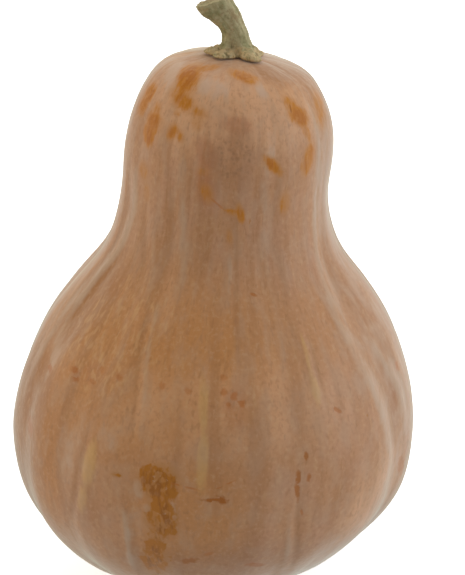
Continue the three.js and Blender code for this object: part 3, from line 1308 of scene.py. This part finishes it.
@dataclass
class Stem:
    """The dried stem. Millimetres and degrees, in its own frame: +Z up the growth axis."""

    seat: Matrix
    hollow: float = 1.0  # how deep the seat is sunk
    centre_line: tuple[Pair, ...] = (  # run to +X, and height
        (0, -2),
        (-0.4, 3),
        (-1.4, 6),
        (-2.2, 8),
        (-4.3, 10.6),
        (-7.7, 13.8),
        (-10.9, 17.6),
        (-14, 21),
    )
    girth: float = 4.5  # radius at which its own map is unrolled
    foot_top: Pair = (0.5, 6.0)  # heights over which the foot passes into the stalk
    foot_edge: Pair = (0.2, 1.0)  # heights over which the relief starts
    flare: float = 0.3  # how far its lower edge spreads over the gap round its seat
    cut_facing: Triple = (-0.4, 0, 0.9)  # how the cut end slants
    cut_distance: Pair = (20.2, 20.6)  # that way, over which it starts
    cut_radii: Pair = (3.9, 4.9)  # between which its rim fades out
    fibre_size: Triple = (1.3, 1.3, 14)  # round the stem and along it
    wart_size: Triple = (1.9, 1.9, 1.9)
    lump_size: Triple = (2.6, 2.6, 2.6)
    stalk_rises: Pair = (0.2, 0.22)  # of fibres, and of warts
    foot_rises: Pair = (0.85, 0.4)  # of lumps, and of warts
    foot_crease_shades: Triple = (1.5, 0.8, 0.9)  # how much lumps, warts and hollows crease it, which sets its painted shade
    too_slight: Pair = (0.1, 0.25)  # depth that gets no painted crease shade, on the foot and on the stalk
    knuckles: tuple[Knuckle, ...] = (
        Knuckle(-64, 9, 3.2, 4.0, 1.3),
        Knuckle(-50, 9.5, 0.9, 4.5, -0.8),
        Knuckle(-32, 8.5, 3.0, 3.6, 0.9),
        Knuckle(4, 8, 1.6, 4.6, -1.2),
        Knuckle(34, 7.5, 3.4, 4.4, 1.5),
        Knuckle(50, 8.5, 0.9, 4.0, -0.7),
        Knuckle(66, 6.5, 2.6, 3.0, 0.8),
        Knuckle(104, 6.5, 2.8, 3.0, 0.7),
        Knuckle(138, 7, 1.0, 4.0, -0.8),
        Knuckle(170, 6.5, 3.2, 3.0, 0.8),
        Knuckle(-100, 4.5, 3.2, 3.2, -1.2),
    )
    subdivisions: int = 2
    quad_angle: float = 60.0  # between two triangles of one quad, at most
    stalk: bpy.types.Object = field(init=False)

    def build(self) -> None:
        """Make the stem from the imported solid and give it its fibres, knuckles and wrinkles."""
        self.stalk = refined_copy("stem", "dry_stem", self.subdivisions, self.quad_angle)
        mesh = self.stalk.data
        points = read_points(mesh)
        to_stem = np.array((self.seat @ Matrix.Translation((0, 0, -self.hollow))).inverted())
        own = points @ to_stem[:3, :3].T + to_stem[:3, 3]
        turn, run, out = self.round_centre_line(own)
        grain = np.stack([self.girth * np.sin(turn), -self.girth * np.cos(turn), run], axis=1)
        foot = 1 - smooth_step(own[:, 2], *self.foot_top)
        cut = smooth_step(own @ np.array(self.cut_facing), *self.cut_distance)
        cut *= 1 - smooth_step(out, *self.cut_radii)
        relief, painted_crease_shade = self.relief(own, grain, foot)
        relief = relief * (1 - cut) + self.flare * swell(np.clip(own[:, 2] - self.hollow, -1, 1))
        points += relief[:, None] * read_points(mesh, "normal")
        move_points(mesh, points)
        keep_field(mesh, "grain", grain * MM)
        keep_field(mesh, StemField.FOOT.value, foot)
        keep_field(mesh, StemField.CREASE.value, painted_crease_shade * (1 - cut))
        keep_field(mesh, StemField.CUT.value, cut)

    def relief(self, own: np.ndarray, grain: np.ndarray, foot: np.ndarray) -> tuple[np.ndarray, np.ndarray]:
        """Work out how far the stem stands out from its plain form, and how much painted shade its sunk
        places get.

        Args:
            own: the vertices in the stem's own frame.
            grain: the same on its own map.
            foot: how much each belongs to the foot, from 0 to 1.

        Returns:
            Millimetres along the normals, and the share of painted crease shade, from 0 to 1.
        """
        fibres = noise_at(grain, self.fibre_size, 3)
        warts = noise_at(own, self.wart_size, 2)
        lumps = noise_at(own, self.lump_size, 3)
        lifts = [knuckle.lift(own) for knuckle in self.knuckles]
        hollows = sum(np.minimum(lift, 0) for lift in lifts)
        by_lumps, by_warts, by_hollows = self.foot_crease_shades
        on_foot, on_stalk = self.too_slight
        # How sunk each place is, which sets its painted crease shade.
        foot_sunken = -by_lumps * lumps - by_warts * warts - on_foot - by_hollows * hollows
        sunken = foot * foot_sunken + (1 - foot) * (-fibres - on_stalk)
        stalk_relief = self.stalk_rises[0] * fibres + self.stalk_rises[1] * warts
        foot_relief = self.foot_rises[0] * lumps + self.foot_rises[1] * warts + sum(lifts)
        above = smooth_step(own[:, 2], *self.foot_edge)
        return (stalk_relief * (1 - foot) + foot_relief * foot) * above, np.clip(sunken, 0, 1)

    def round_centre_line(self, own: np.ndarray) -> tuple[np.ndarray, np.ndarray, np.ndarray]:
        """Tell where places lie round the stem's centre line.

        Args:
            own: the places in the stem's own frame.

        Returns:
            Their turns round it in radians, distances along it and distances from it.
        """
        line = np.array(self.centre_line)
        flat = own[:, [0, 2]]
        best = np.full(len(own), np.inf)
        aside = np.zeros(len(own))
        run = np.zeros(len(own))
        start = 0.0
        for here, after in zip(line, line[1:]):
            step = after - here
            length = np.hypot(*step)
            ahead = step / length
            share = np.clip((flat - here) @ ahead, 0, length)
            off = flat - here - share[:, None] * ahead
            distance = np.hypot(*off.T)
            nearer = distance < best
            best[nearer] = distance[nearer]
            side = off @ np.array([ahead[1], -ahead[0]])
            aside[nearer] = side[nearer]
            run[nearer] = (start + share)[nearer]
            start += length
        return np.arctan2(aside, -own[:, 1]), run, np.hypot(aside, own[:, 1])

    def dress(self) -> None:
        """Give the stem its finish and its place in the part."""
        self.stalk.data.materials.append(DriedStalk().material())
        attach(self.stalk, BODY)
        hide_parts("stem")


# ---- Assembly ----


def report_piece(piece: bpy.types.Object) -> None:
    """Log a piece's name and fineness."""
    log.info("%s: %d faces", piece.name, len(piece.data.polygons))


def main() -> None:
    """Build the studio, the fruit and its stem."""
    logging.basicConfig(level=logging.INFO, format="%(name)s: %(message)s")
    studio = Studio()
    studio.set_camera()
    studio.light()
    studio.lay_table()
    studio.hang_screen()
    fruit = Fruit()
    fruit.build()
    fruit.dress()
    report_piece(fruit.skin)
    stem = Stem(fruit.axis.seat())
    stem.build()
    stem.dress()
    report_piece(stem.stalk)


if __name__ == "__main__":
    main()
